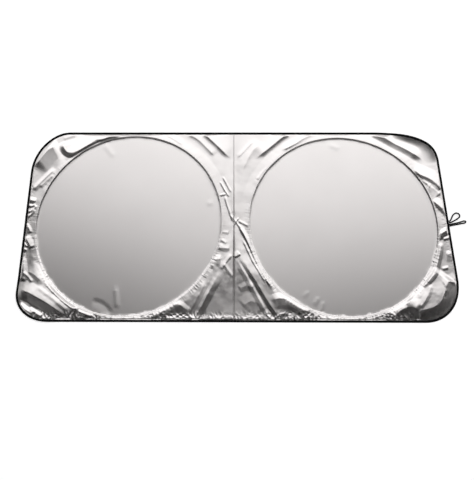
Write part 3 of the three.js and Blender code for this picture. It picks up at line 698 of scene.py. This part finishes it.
def cloth_height(points, hoop, scene):
    """Height of the cloth's underside at each point."""
    outline, hoops = scene.sunshade_outline, scene.sunshade_hoops
    cloth, tape = scene.sunshade_cloth, scene.sunshade_tape
    pitch = 2 * MM
    index, inset = nearest(points, outline_stations(outline, pitch)[:, :2])
    run = index * pitch
    from_seam = np.abs(points[:, 0] - outline.seam_x) - outline.seam_gap / 2
    angle, beyond = hoop.polar(points)
    arc = angle * hoop.half_width
    lower = ease((0.15 - np.sin(angle)) / 0.7)

    # Channel: a step up over the wire from the taut disc to the slack cloth
    pucker = smooth_noise(np.stack((arc / PUCKER_PITCH, beyond / (40 * MM)), axis=1), 21)
    step = beyond + hoops.channel_half + pucker * (0.6 + 1.5 * lower) * MM
    over_sleeve = ease(1 - np.abs(beyond) / (6 * MM)) * ease(
        1.6 - np.hypot(*(points - hoop.join()).T) / (42 * MM)
    )
    rise = hoops.channel_rise + SLEEVE_RISE * over_sleeve
    channel = rise * (1 - soft_floor(1 - np.maximum(step, 0) / hoops.channel_half, 0.04))
    ripple = RIPPLE * pucker * (0.3 + 0.7 * lower) * window(beyond, -2 * MM, 18 * MM, 6 * MM)

    # Slack cloth: drawn down to the edge tape and the seam, more gently at the foot's middle and right
    from_tape = np.maximum(inset - tape.width, 0)
    gentle = window(points[:, 0], *GENTLE_FOOT) * (points[:, 1] < 0)
    fall = ease(from_tape / (SLUMP_REACH + GENTLE_REACH * gentle))
    slump = SLUMP * ease(beyond / (40 * MM)) * (1 - fall)
    corner = ease((points[:, 0] - 0.56) / 0.08) * ease((-0.15 - points[:, 1]) / 0.08)
    free = np.clip(from_tape / (TAPE_RAMP + CORNER_RAMP * corner), 0, 1) * (1 - slump)
    drawn_in = 0.3 + 0.25 * ease((0.2 - points[:, 1]) / 0.35)
    groove = 1 - drawn_in * (1 - np.clip(from_seam / (4 * MM), 0, 1)) ** 1.7
    near_seam = 1 - 0.5 * ease(1 - from_seam / (30 * MM))
    lift = (cloth.slack_lift - hoops.channel_rise) * np.clip(beyond / (20 * MM), 0, 1) * lower
    lift -= 2.3 * MM * np.clip(beyond / (34 * MM), 0, 1) * (1 - lower)
    billow = smooth_noise(points / (34 * MM), 31) * (0.35 + 0.4 * lower) * MM
    billow += smooth_noise(points / (13 * MM), 37) * (0.08 + 0.1 * lower) * MM
    dome = window(points[:, 1], *BULGE) * ease((0.2 - from_seam) / 0.1) * DOME
    dome *= ease(beyond / (60 * MM))
    crease = fold_heights(points, SLACK_FOLDS) + edge_gathers(points, run, inset)
    crease *= np.clip(from_tape / (CREASE_RAMP + (0.22 + 0.2 * corner) * crease**2 / MM), 0, 1)
    slack = (channel * near_seam + lift + billow + dome + ripple) * free
    curl = fold_heights(points, EDGE_LIFTS) * ease(beyond / (30 * MM))
    height = soft_floor(slack + crease * ease(beyond / HOOP_EASE), 0.3 * MM) * groove
    height *= np.clip(inset / MM - 6.7, 0, 1)
    taut = fold_heights(points, DISC_FOLDS) * ease((-4 * MM - beyond) / (6 * MM))
    height = np.where(beyond > -hoops.channel_half - 1.6 * MM, height, 0) + taut
    return cloth.underside + height + curl


def cloth_pattern(scene, hoop, is_left):
    """Flat points of one half of the cloth: its rim, the rows along the stitches and round the hoop,
    a close spread over the slack cloth and a wide one over the taut disc. The rim comes first."""
    outline, cloth, tape = scene.sunshade_outline, scene.sunshade_cloth, scene.sunshade_tape
    rim = half_loop(outline, 0.7 * MM, outline.seam_gap / 2, is_left, ROW_STEP)
    stitch = half_loop(outline, tape.width + 0.3 * MM, 5 * MM, is_left, ROW_STEP)
    rows = [rim, stitch, half_loop(outline, 4 * MM, 2.5 * MM, is_left, ROW_STEP)]
    half = scene.sunshade_hoops.channel_half
    rows.extend(hoop.ring(offset * half, RING_STEP) for offset in RINGS)
    low, high = rim.min(axis=0), rim.max(axis=0)
    spread = lattice(low, high, cloth.fine)
    angle, beyond = hoop.polar(spread)
    room = star_radius(stitch, hoop, angle) - hoop.radius(angle) - beyond
    rows.append(spread[(beyond > half + cloth.fine / 2) & (room > cloth.fine / 2)])
    inner = lattice(low, high, NEAR_STEP)
    beyond = hoop.polar(inner)[1]
    rows.append(inner[(beyond < RINGS[0] * half - 3 * MM) & (beyond > -NEAR_END)])
    middle = lattice(low, high, FAR_STEP)
    rows.append(middle[hoop.polar(middle)[1] < -FAR_START])
    return rows


def cloth_panel(name, is_left):
    """One half of the cloth, raised from its flat pattern and given its thickness."""
    scene = bpy.context.scene
    thickness = scene.sunshade_cloth.thickness
    hoop = Hoop(scene, is_left)
    rows = cloth_pattern(scene, hoop, is_left)
    rim_count = len(rows[0])
    flat = np.vstack(rows)
    rim_edges = [(i, (i + 1) % rim_count) for i in range(rim_count)]
    inside_only = 1
    found = delaunay_2d_cdt([Vector(p) for p in flat], rim_edges, [], inside_only, 1e-6)
    points = np.array([tuple(v) for v in found[0]])
    top = cloth_height(points, hoop, scene) + thickness
    mesh = bpy.data.meshes.new(name)
    mesh.from_pydata(np.column_stack((points, top)).tolist(), [], found[2])
    bm = bmesh.new()
    bm.from_mesh(mesh)
    bmesh.ops.recalc_face_normals(bm, faces=bm.faces[:])
    if bm.faces[0].normal.z < 0:
        bmesh.ops.reverse_faces(bm, faces=bm.faces[:])
    bmesh.ops.solidify(bm, geom=bm.faces[:], thickness=thickness)
    for face in bm.faces:
        face.smooth = True
        face.material_index = 1 if face.normal.z < 0 else 0
    bm.to_mesh(mesh)
    bm.free()
    return link_object(name, mesh)


# Shader groups


def new_group(name, inputs, outputs):
    group = bpy.data.node_groups.new(name, "ShaderNodeTree")
    for title, kind, default in inputs:
        socket = group.interface.new_socket(name=title, in_out="INPUT", socket_type=kind)
        socket.default_value = default
    for title, kind in outputs:
        group.interface.new_socket(name=title, in_out="OUTPUT", socket_type=kind)
    return group


def add(tree, kind, **settings):
    node = tree.nodes.new(kind)
    for key, value in settings.items():
        setattr(node, key, value)
    return node


def preset(node, values):
    """Set inputs of a shader node."""
    for title, value in values.items():
        node.inputs[title].default_value = value


def link(source, output, target, title):
    """Join an output of one shader node to an input of another."""
    source.id_data.links.new(source.outputs[output], target.inputs[title])


def new_material(name, metallic, roughness):
    material = bpy.data.materials.new(name)
    material.use_nodes = True
    shader = material.node_tree.nodes["Principled BSDF"]
    preset(shader, {"Metallic": metallic, "Roughness": roughness})
    return material, material.node_tree, shader


def weave_group():
    """Height of a plain weave, from crossed bands of threads at a given number for each metre."""
    tree = new_group("weave", [("Threads", "NodeSocketFloat", 900.0)], [("Height", "NodeSocketFloat")])
    inside, outside = add(tree, "NodeGroupInput"), add(tree, "NodeGroupOutput")
    place = add(tree, "ShaderNodeTexCoord")
    bands = []
    for direction in ("X", "Y"):
        band = add(tree, "ShaderNodeTexWave", wave_type="BANDS", bands_direction=direction)
        preset(band, {"Distortion": 0.6, "Detail": 1.0})
        link(place, "Object", band, "Vector")
        link(inside, "Threads", band, "Scale")
        bands.append(band)
    crossed = add(tree, "ShaderNodeMath", operation="MAXIMUM")
    for k, band in enumerate(bands):
        link(band, "Fac", crossed, k)
    link(crossed, 0, outside, "Height")
    return tree


def wear_group():
    """Handling marks: a soft blotch and a fine fleck, both from 0 to 1."""
    tree = new_group(
        "wear",
        [("Blotch", "NodeSocketFloat", 9.0), ("Fleck", "NodeSocketFloat", 400.0)],
        [("Blotch", "NodeSocketFloat"), ("Fleck", "NodeSocketFloat")],
    )
    inside, outside = add(tree, "NodeGroupInput"), add(tree, "NodeGroupOutput")
    place = add(tree, "ShaderNodeTexCoord")
    for title, detail, low, high in (("Blotch", 4.0, 0.35, 0.7), ("Fleck", 2.0, 0.55, 0.75)):
        noise = add(tree, "ShaderNodeTexNoise")
        noise.inputs["Detail"].default_value = detail
        spread = add(tree, "ShaderNodeMapRange")
        preset(spread, {"From Min": low, "From Max": high})
        link(place, "Object", noise, "Vector")
        link(inside, title, noise, "Scale")
        link(noise, "Fac", spread, "Value")
        link(spread, "Result", outside, title)
    return tree


def use_group(tree, make, **inputs):
    name = make.__name__.replace("_group", "")
    node = add(tree, "ShaderNodeGroup")
    node.node_tree = bpy.data.node_groups.get(name) or make()
    preset(node, inputs)
    return node


def vary(tree, source, low, high, target):
    """Drive a shader input with a mask, between two values."""
    spread = add(tree, "ShaderNodeMapRange")
    preset(spread, {"To Min": low, "To Max": high})
    tree.links.new(source, spread.inputs["Value"])
    tree.links.new(spread.outputs["Result"], target)


def tinted(tree, source, shade, fresh, worn, target):
    """Drive a colour input with a mask, between two shades of one colour."""
    mix = add(tree, "ShaderNodeMix", data_type="RGBA")
    for title, share_of in (("A", fresh), ("B", worn)):
        socket = next(i for i in mix.inputs if i.name == title and i.type == "RGBA")
        socket.default_value = (*(channel * share_of for channel in shade), 1)
    tree.links.new(source, mix.inputs["Factor"])
    tree.links.new(next(o for o in mix.outputs if o.type == "RGBA"), target)


def raise_surface(tree, shader, source, strength, distance):
    bump = add(tree, "ShaderNodeBump")
    preset(bump, {"Strength": strength, "Distance": distance})
    tree.links.new(source, bump.inputs["Height"])
    link(bump, "Normal", shader, "Normal")


# Finishes


def silver_material(cloth):
    """Metallised coating on woven polyester, a little cloudy where it has been handled."""
    material, tree, shader = new_material("silver_coating", 1.0, 0.3)
    wear = use_group(tree, wear_group, Blotch=7.0, Fleck=260.0)
    tinted(tree, wear.outputs["Blotch"], cloth.silver, 1.0, 0.985, shader.inputs["Base Color"])
    vary(tree, wear.outputs["Blotch"], 0.292, 0.308, shader.inputs["Roughness"])
    weave = use_group(tree, weave_group, Threads=CLOTH_THREADS)
    raise_surface(tree, shader, weave.outputs["Height"], 0.06, 0.02 * MM)
    return material


def back_material(cloth):
    """Uncoated grey polyester."""
    material, tree, shader = new_material("uncoated_back", 0.0, 0.8)
    shader.inputs["Specular IOR Level"].default_value = 0.2
    wear = use_group(tree, wear_group, Blotch=12.0, Fleck=300.0)
    tinted(tree, wear.outputs["Blotch"], cloth.back, 0.94, 1.08, shader.inputs["Base Color"])
    weave = use_group(tree, weave_group, Threads=CLOTH_THREADS)
    raise_surface(tree, shader, weave.outputs["Height"], 0.3, 0.05 * MM)
    return material


def black_material(name, colour, roughness, threads):
    """Matt black threads, with a little lint."""
    material, tree, shader = new_material(name, 0.0, roughness)
    shader.inputs["Specular IOR Level"].default_value = 0.06
    wear = use_group(tree, wear_group, Blotch=30.0, Fleck=700.0)
    tinted(tree, wear.outputs["Fleck"], colour, 1.0, 2.6, shader.inputs["Base Color"])
    vary(tree, wear.outputs["Blotch"], roughness - 0.05, roughness + 0.05, shader.inputs["Roughness"])
    weave = use_group(tree, weave_group, Threads=threads)
    raise_surface(tree, shader, weave.outputs["Height"], 0.5, 0.1 * MM)
    return material


def metal_material(name, colour, roughness):
    """Drawn or crimped metal with fine scuffs."""
    material, tree, shader = new_material(name, 1.0, roughness)
    wear = use_group(tree, wear_group, Blotch=60.0, Fleck=900.0)
    tinted(tree, wear.outputs["Blotch"], colour, 1.0, 0.85, shader.inputs["Base Color"])
    vary(tree, wear.outputs["Fleck"], roughness, roughness + 0.2, shader.inputs["Roughness"])
    raise_surface(tree, shader, wear.outputs["Fleck"], 0.15, 0.05 * MM)
    return material


def finish_node(node, material):
    """Give one of the construction model's meshes its finish."""
    dress(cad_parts[node].data, material)


# Stage


def flag(name, low, high, height, turn, soft, level=0.0):
    """A matt card over the shade that only reflections and light meet, never the camera. It is black
    or glows at a level, and its front edge is blended with the white sky over the given stretch."""
    bm = bmesh.new()
    bmesh.ops.create_grid(bm, x_segments=1, y_segments=1, size=0.5)
    for vertex in bm.verts:
        x = low[0] + (vertex.co.x + 0.5) * (high[0] - low[0])
        y = low[1] + (vertex.co.y + 0.5) * (high[1] - low[1])
        vertex.co = (x, y, height)
    spin = Matrix.Rotation(math.radians(turn), 3, "Z")
    bmesh.ops.rotate(bm, verts=bm.verts, cent=(0, 0, height), matrix=spin)
    card = link_bmesh(name, bm)
    material, tree, shader = new_material(name, 0.0, 1.0)
    preset(shader, {"Base Color": (0.012, 0.0115, 0.011, 1), "Specular IOR Level": 0.0})
    place = add(tree, "ShaderNodeTexCoord")
    depth = add(tree, "ShaderNodeVectorMath", operation="DOT_PRODUCT")
    depth.inputs[1].default_value = spin @ Vector((0, 1, 0))
    glow = add(tree, "ShaderNodeMapRange", interpolation_type="SMOOTHSTEP")
    preset(glow, {"From Min": high[1] - soft, "From Max": high[1], "To Min": level})
    link(place, "Object", depth, 0)
    link(depth, "Value", glow, "Value")
    shader.inputs["Emission Color"].default_value = (1, 1, 1, 1)
    link(glow, "Result", shader, "Emission Strength")
    card.data.materials.append(material)
    card.visible_camera = False
    return card


class SUNSHADE_OT_stage(bpy.types.Operator):
    """Set up the camera, the pale floor and the soft light"""

    bl_idname = "sunshade.stage"
    bl_label = "Stage"

    def execute(self, context):
        scene = context.scene
        stage = scene.sunshade_stage
        lens = bpy.data.cameras.new("camera")
        lens.sensor_width = 36
        lens.lens = lens.sensor_width * stage.camera_height / stage.view_span
        camera = link_object("camera", lens)
        camera.location = (stage.camera_x, stage.camera_y, stage.camera_height)
        scene.camera = camera
        self.floor()
        self.light(scene, stage)
        scene.view_settings.view_transform = "Standard"
        return {"FINISHED"}

    def floor(self):
        """Pale floor, which lifts itself to white for the camera and for reflections."""
        bm = bmesh.new()
        bmesh.ops.create_grid(bm, x_segments=1, y_segments=1, size=40)
        floor = link_bmesh("floor", bm)
        material, tree, shader = new_material("floor", 0.0, 1.0)
        preset(shader, {"Base Color": (0.9, 0.9, 0.9, 1), "Specular IOR Level": 0.0})
        rays = add(tree, "ShaderNodeLightPath")
        mirrored = add(tree, "ShaderNodeMath", operation="MAXIMUM")
        link(rays, "Is Glossy Ray", mirrored, 0)
        link(rays, "Is Transmission Ray", mirrored, 1)
        seen = add(tree, "ShaderNodeMath", operation="MAXIMUM")
        link(rays, "Is Camera Ray", seen, 0)
        link(mirrored, 0, seen, 1)
        glow = add(tree, "ShaderNodeMath", operation="MULTIPLY")
        link(seen, 0, glow, 0)
        glow.inputs[1].default_value = FLOOR_GLOW
        shader.inputs["Emission Color"].default_value = (1, 1, 1, 1)
        link(glow, 0, shader, "Emission Strength")
        floor.data.materials.append(material)

    def light(self, scene, stage):
        """White sky and a soft lamp, with the cards that the silver cloth mirrors."""
        world = bpy.data.worlds.new("studio")
        world.use_nodes = True
        world.node_tree.nodes["Background"].inputs["Color"].default_value = (1, 1, 1, 1)
        world.node_tree.nodes["Background"].inputs["Strength"].default_value = stage.sky
        scene.world = world
        key = bpy.data.lights.new("key", "AREA")
        key.shape = "RECTANGLE"
        key.size, key.size_y = LAMP_SIZE
        key.energy = LAMP_POWER
        lamp = link_object("key", key)
        lamp.location = LAMP_PLACE
        lamp.rotation_euler = (LAMP_TILT, 0, 0)
        lamp.visible_camera = False
        reach, edge, blend = stage.flag_reach, stage.flag_edge, stage.flag_blend
        flag("flag_left", (-reach, -reach), (CARD_OVERLAP, edge), 7.0, -20, blend)
        flag("flag_right", (-CARD_OVERLAP, -reach), (reach, edge), 7.05, 8, blend)
        flag("flag_back", (-reach, -reach), (reach, edge - CARD_STEP_BACK), 7.1, 0, blend)
        low, high = (-FAR_REACH, -FAR_REACH), (FAR_REACH, -stage.far_edge)
        flag("flag_far", low, high, 7.15, 180, FAR_BLEND, stage.far_level)


# Elastic loops


def edge_frame(outline, y):
    """Point of the right edge at a height, with the ways out from it and up along it."""
    c = corner_points(outline)
    low = towards(c["foot_right"], c["top_right"], FOOT_RIGHT_CURVE[1] * MM)
    high = towards(c["top_right"], c["foot_right"], TOP_RIGHT_CURVE[1] * MM)
    up = (high - low) / np.linalg.norm(high - low)
    at = low + (high - low) * (y - low[1]) / (high[1] - low[1])
    return at, np.array((up[1], -up[0])), up


class SUNSHADE_OT_elastic_loops(bpy.types.Operator):
    """Make the two elastic loops that are sewn into the right edge"""

    bl_idname = "sunshade.elastic_loops"
    bl_label = "Elastic loops"

    def execute(self, context):
        elastic = context.scene.sunshade_elastic
        finish = black_material("elastic_cover", elastic.black, 0.8, 500.0)
        self.loop("loop_open", "elastic_loop_open", OPEN_LOOP_ROUTE, elastic.edge_y, finish)
        lower = elastic.edge_y - elastic.spacing
        self.loop("loop_flat", "elastic_loop_flat", FLAT_LOOP_ROUTE, lower, finish)
        return {"FINISHED"}

    def loop(self, name, node, route, edge_y, finish):
        scene = bpy.context.scene
        radius = scene.sunshade_elastic.diameter / 2
        at, out, up = edge_frame(scene.sunshade_outline, edge_y)
        clearance = 0.3
        flat = np.array([at + out * (o + clearance) * MM + up * u * MM for o, u in route])
        points = smooth_route(np.column_stack((flat, np.full(len(flat), radius))), 12)
        curve = poly_curve(name, points, False)
        curve.bevel_depth = radius
        curve.bevel_resolution = 4
        curve.use_fill_caps = True
        curve.materials.append(finish)
        piece = link_object(name, curve)
        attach(piece, "root")
        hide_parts(node)


# Cloth


class SUNSHADE_OT_cloth(bpy.types.Operator):
    """Make the two halves of the silver cloth, with their creases and channels"""

    bl_idname = "sunshade.cloth"
    bl_label = "Silver cloth"

    def execute(self, context):
        scene = context.scene
        finishes = (silver_material(scene.sunshade_cloth), back_material(scene.sunshade_cloth))
        for name, node, is_left in (
            ("cloth_left", "panel_left", True),
            ("cloth_right", "panel_right", False),
        ):
            piece = cloth_panel(name, is_left)
            for finish in finishes:
                piece.data.materials.append(finish)
            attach(piece, "root")
            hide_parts(node)
        return {"FINISHED"}


# Tapes and stitches


def swept_mesh(name, section, route):
    """Mesh of a section, given by steps inwards and up, swept round a closed route."""
    profile = poly_curve(name + "_section", [(-across * MM, up * MM, 0) for across, up in section], True)
    profile.dimensions = "2D"
    profile_piece = bpy.data.objects.new(name + "_section", profile)
    path = poly_curve(name + "_path", route, True)
    path.twist_mode = "Z_UP"
    path.bevel_mode = "OBJECT"
    path.bevel_object = profile_piece
    piece = link_object(name + "_path", path)
    mesh = applied_mesh(piece)
    mesh.name = name
    for used in (piece, profile_piece):
        bpy.data.objects.remove(used)
    for used in (path, profile):
        bpy.data.curves.remove(used)
    return mesh


def stitch_row(name, route, pitch, size, finish):
    """Row of small thread stitches laid end to end round a closed route."""
    long, wide, high = size
    bm = bmesh.new()
    bmesh.ops.create_uvsphere(bm, u_segments=6, v_segments=4, radius=1)
    bmesh.ops.rotate(bm, verts=bm.verts, matrix=Matrix.Rotation(math.radians(90), 3, "Y"))
    bmesh.ops.scale(bm, verts=bm.verts, vec=(long / 2, wide / 2, high / 2))
    bmesh.ops.translate(bm, verts=bm.verts, vec=(pitch / 2, 0, 0))
    stitch = link_bmesh(name + "_stitch", bm)
    path = poly_curve(name + "_path", route, True)
    path.twist_mode = "Z_UP"
    path_piece = link_object(name + "_path", path)
    around = way_round(route)
    count = round(around / pitch)
    row = stitch.modifiers.new("row", "ARRAY")
    row.count = count
    row.use_relative_offset = False
    row.use_constant_offset = True
    row.constant_offset_displace = (around / count, 0, 0)
    bend = stitch.modifiers.new("bend", "CURVE")
    bend.object = path_piece
    mesh = applied_mesh(stitch)
    mesh.name = name
    for used in (stitch, path_piece):
        bpy.data.objects.remove(used)
    bpy.data.curves.remove(path)
    dress(mesh, finish)
    mesh.shade_smooth()
    piece = link_object(name, mesh)
    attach(piece, "root")
    return piece


def raised(points, z):
    """Flat points of the edge, set at a height and lifted with the curled corners."""
    return np.column_stack((points, z + fold_heights(points, EDGE_LIFTS)))


class SUNSHADE_OT_edge_tape(bpy.types.Operator):
    """Fold the black tape over the sheet's edge, with its row of stitches"""

    bl_idname = "sunshade.edge_tape"
    bl_label = "Edge tape"

    def execute(self, context):
        scene = context.scene
        tape = scene.sunshade_tape
        step = 4 * MM
        stations = outline_stations(scene.sunshade_outline, step)
        edge = stations[:, :2]
        route = np.column_stack((edge, np.zeros(len(edge))))
        mesh = swept_mesh("edge_tape", TAPE_SECTION, route)
        co = np.empty(len(mesh.vertices) * 3)
        mesh.vertices.foreach_get("co", co)
        co = co.reshape(-1, 3)
        flat = co[:, :2].copy()
        index, inset = nearest(flat, edge)
        run = index * step
        pull = smooth_noise(np.stack((run / (13 * MM), inset * 0), axis=1), 41) * inset / tape.width
        co[:, :2] += stations[index, 2:] * (pull * 0.7 * MM)[:, None]
        puff = smooth_noise(np.stack((run / (9 * MM), inset / (5 * MM)), axis=1), 43)
        co[:, 2] += 0.12 * MM * puff * (co[:, 2] > 1.5 * MM)
        co[:, 2] += fold_heights(flat, EDGE_LIFTS)
        mesh.vertices.foreach_set("co", co.ravel())
        bm = bmesh.new()
        bm.from_mesh(mesh)
        bmesh.ops.recalc_face_normals(bm, faces=bm.faces[:])
        bm.to_mesh(mesh)
        bm.free()
        mesh.shade_smooth()
        finish = black_material("black_tape", tape.black, 0.85, 320.0)
        dress(mesh, finish)
        piece = link_object("edge_tape", mesh)
        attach(piece, "root")
        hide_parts("edge_binding")
        thread = black_material("black_thread", (0.02, 0.02, 0.021), 0.6, 2000.0)
        row = edge + stations[:, 2:] * (tape.width - 1.6 * MM)
        lying = raised(row, 1.9 * MM)
        stitches = stitch_row("edge_stitches", lying, tape.stitch_pitch, EDGE_STITCH, thread)
        for node in ("hoop_casing_left", "hoop_casing_right", "centre_seam_tape"):
            finish_node(node, finish)
        return {"FINISHED"}


class SUNSHADE_OT_hoops(bpy.types.Operator):
    """Finish the sprung hoops and sew their channels"""

    bl_idname = "sunshade.hoops"
    bl_label = "Hoops and channels"

    def execute(self, context):
        scene = context.scene
        pitch = scene.sunshade_tape.stitch_pitch
        steel = metal_material("spring_steel", (0.55, 0.57, 0.58), 0.35)
        crimp = metal_material("crimp_metal", (0.71, 0.72, 0.72), 0.4)
        thread = metal_material("silver_thread", (0.6, 0.6, 0.6), 0.5)
        for side in ("left", "right"):
            finish_node("hoop_wire_" + side, steel)
            finish_node("hoop_sleeve_" + side, crimp)
            hoop = Hoop(scene, side == "left")
            for row, offset in (("inner", -6.2 * MM), ("outer", 4 * MM)):
                ring = hoop.ring(offset, 3 * MM)
                top = cloth_height(ring, hoop, scene) + scene.sunshade_cloth.thickness + 0.1 * MM
                name = "channel_stitches_" + side + "_" + row
                route = np.column_stack((ring, top))
                piece = stitch_row(name, route, pitch, CHANNEL_STITCH, thread)
        return {"FINISHED"}


# Panel and registration


class SUNSHADE_PT_panel(bpy.types.Panel):
    bl_idname = "SUNSHADE_PT_panel"
    bl_label = "Sunshade"
    bl_space_type = "VIEW_3D"
    bl_region_type = "UI"
    bl_category = "Sunshade"

    def draw(self, context):
        for operator in OPERATORS:
            self.layout.operator(operator.bl_idname)


OPERATORS = (
    SUNSHADE_OT_stage,
    SUNSHADE_OT_elastic_loops,
    SUNSHADE_OT_cloth,
    SUNSHADE_OT_edge_tape,
    SUNSHADE_OT_hoops,
)
SETTINGS = {
    "sunshade_outline": SunshadeOutline,
    "sunshade_hoops": SunshadeHoops,
    "sunshade_cloth": SunshadeCloth,
    "sunshade_tape": SunshadeTape,
    "sunshade_elastic": SunshadeElastic,
    "sunshade_stage": SunshadeStage,
}


def register():
    for name, group in SETTINGS.items():
        bpy.utils.register_class(group)
        setattr(bpy.types.Scene, name, bpy.props.PointerProperty(type=group))
    for operator in OPERATORS:
        bpy.utils.register_class(operator)
    bpy.utils.register_class(SUNSHADE_PT_panel)


def unregister():
    bpy.utils.unregister_class(SUNSHADE_PT_panel)
    for operator in reversed(OPERATORS):
        bpy.utils.unregister_class(operator)
    for name, group in reversed(SETTINGS.items()):
        delattr(bpy.types.Scene, name)
        bpy.utils.unregister_class(group)


def main():
    register()
    bpy.ops.sunshade.stage()
    bpy.ops.sunshade.elastic_loops()
    bpy.ops.sunshade.cloth()
    bpy.ops.sunshade.edge_tape()
    bpy.ops.sunshade.hoops()


if __name__ == "__main__":
    main()
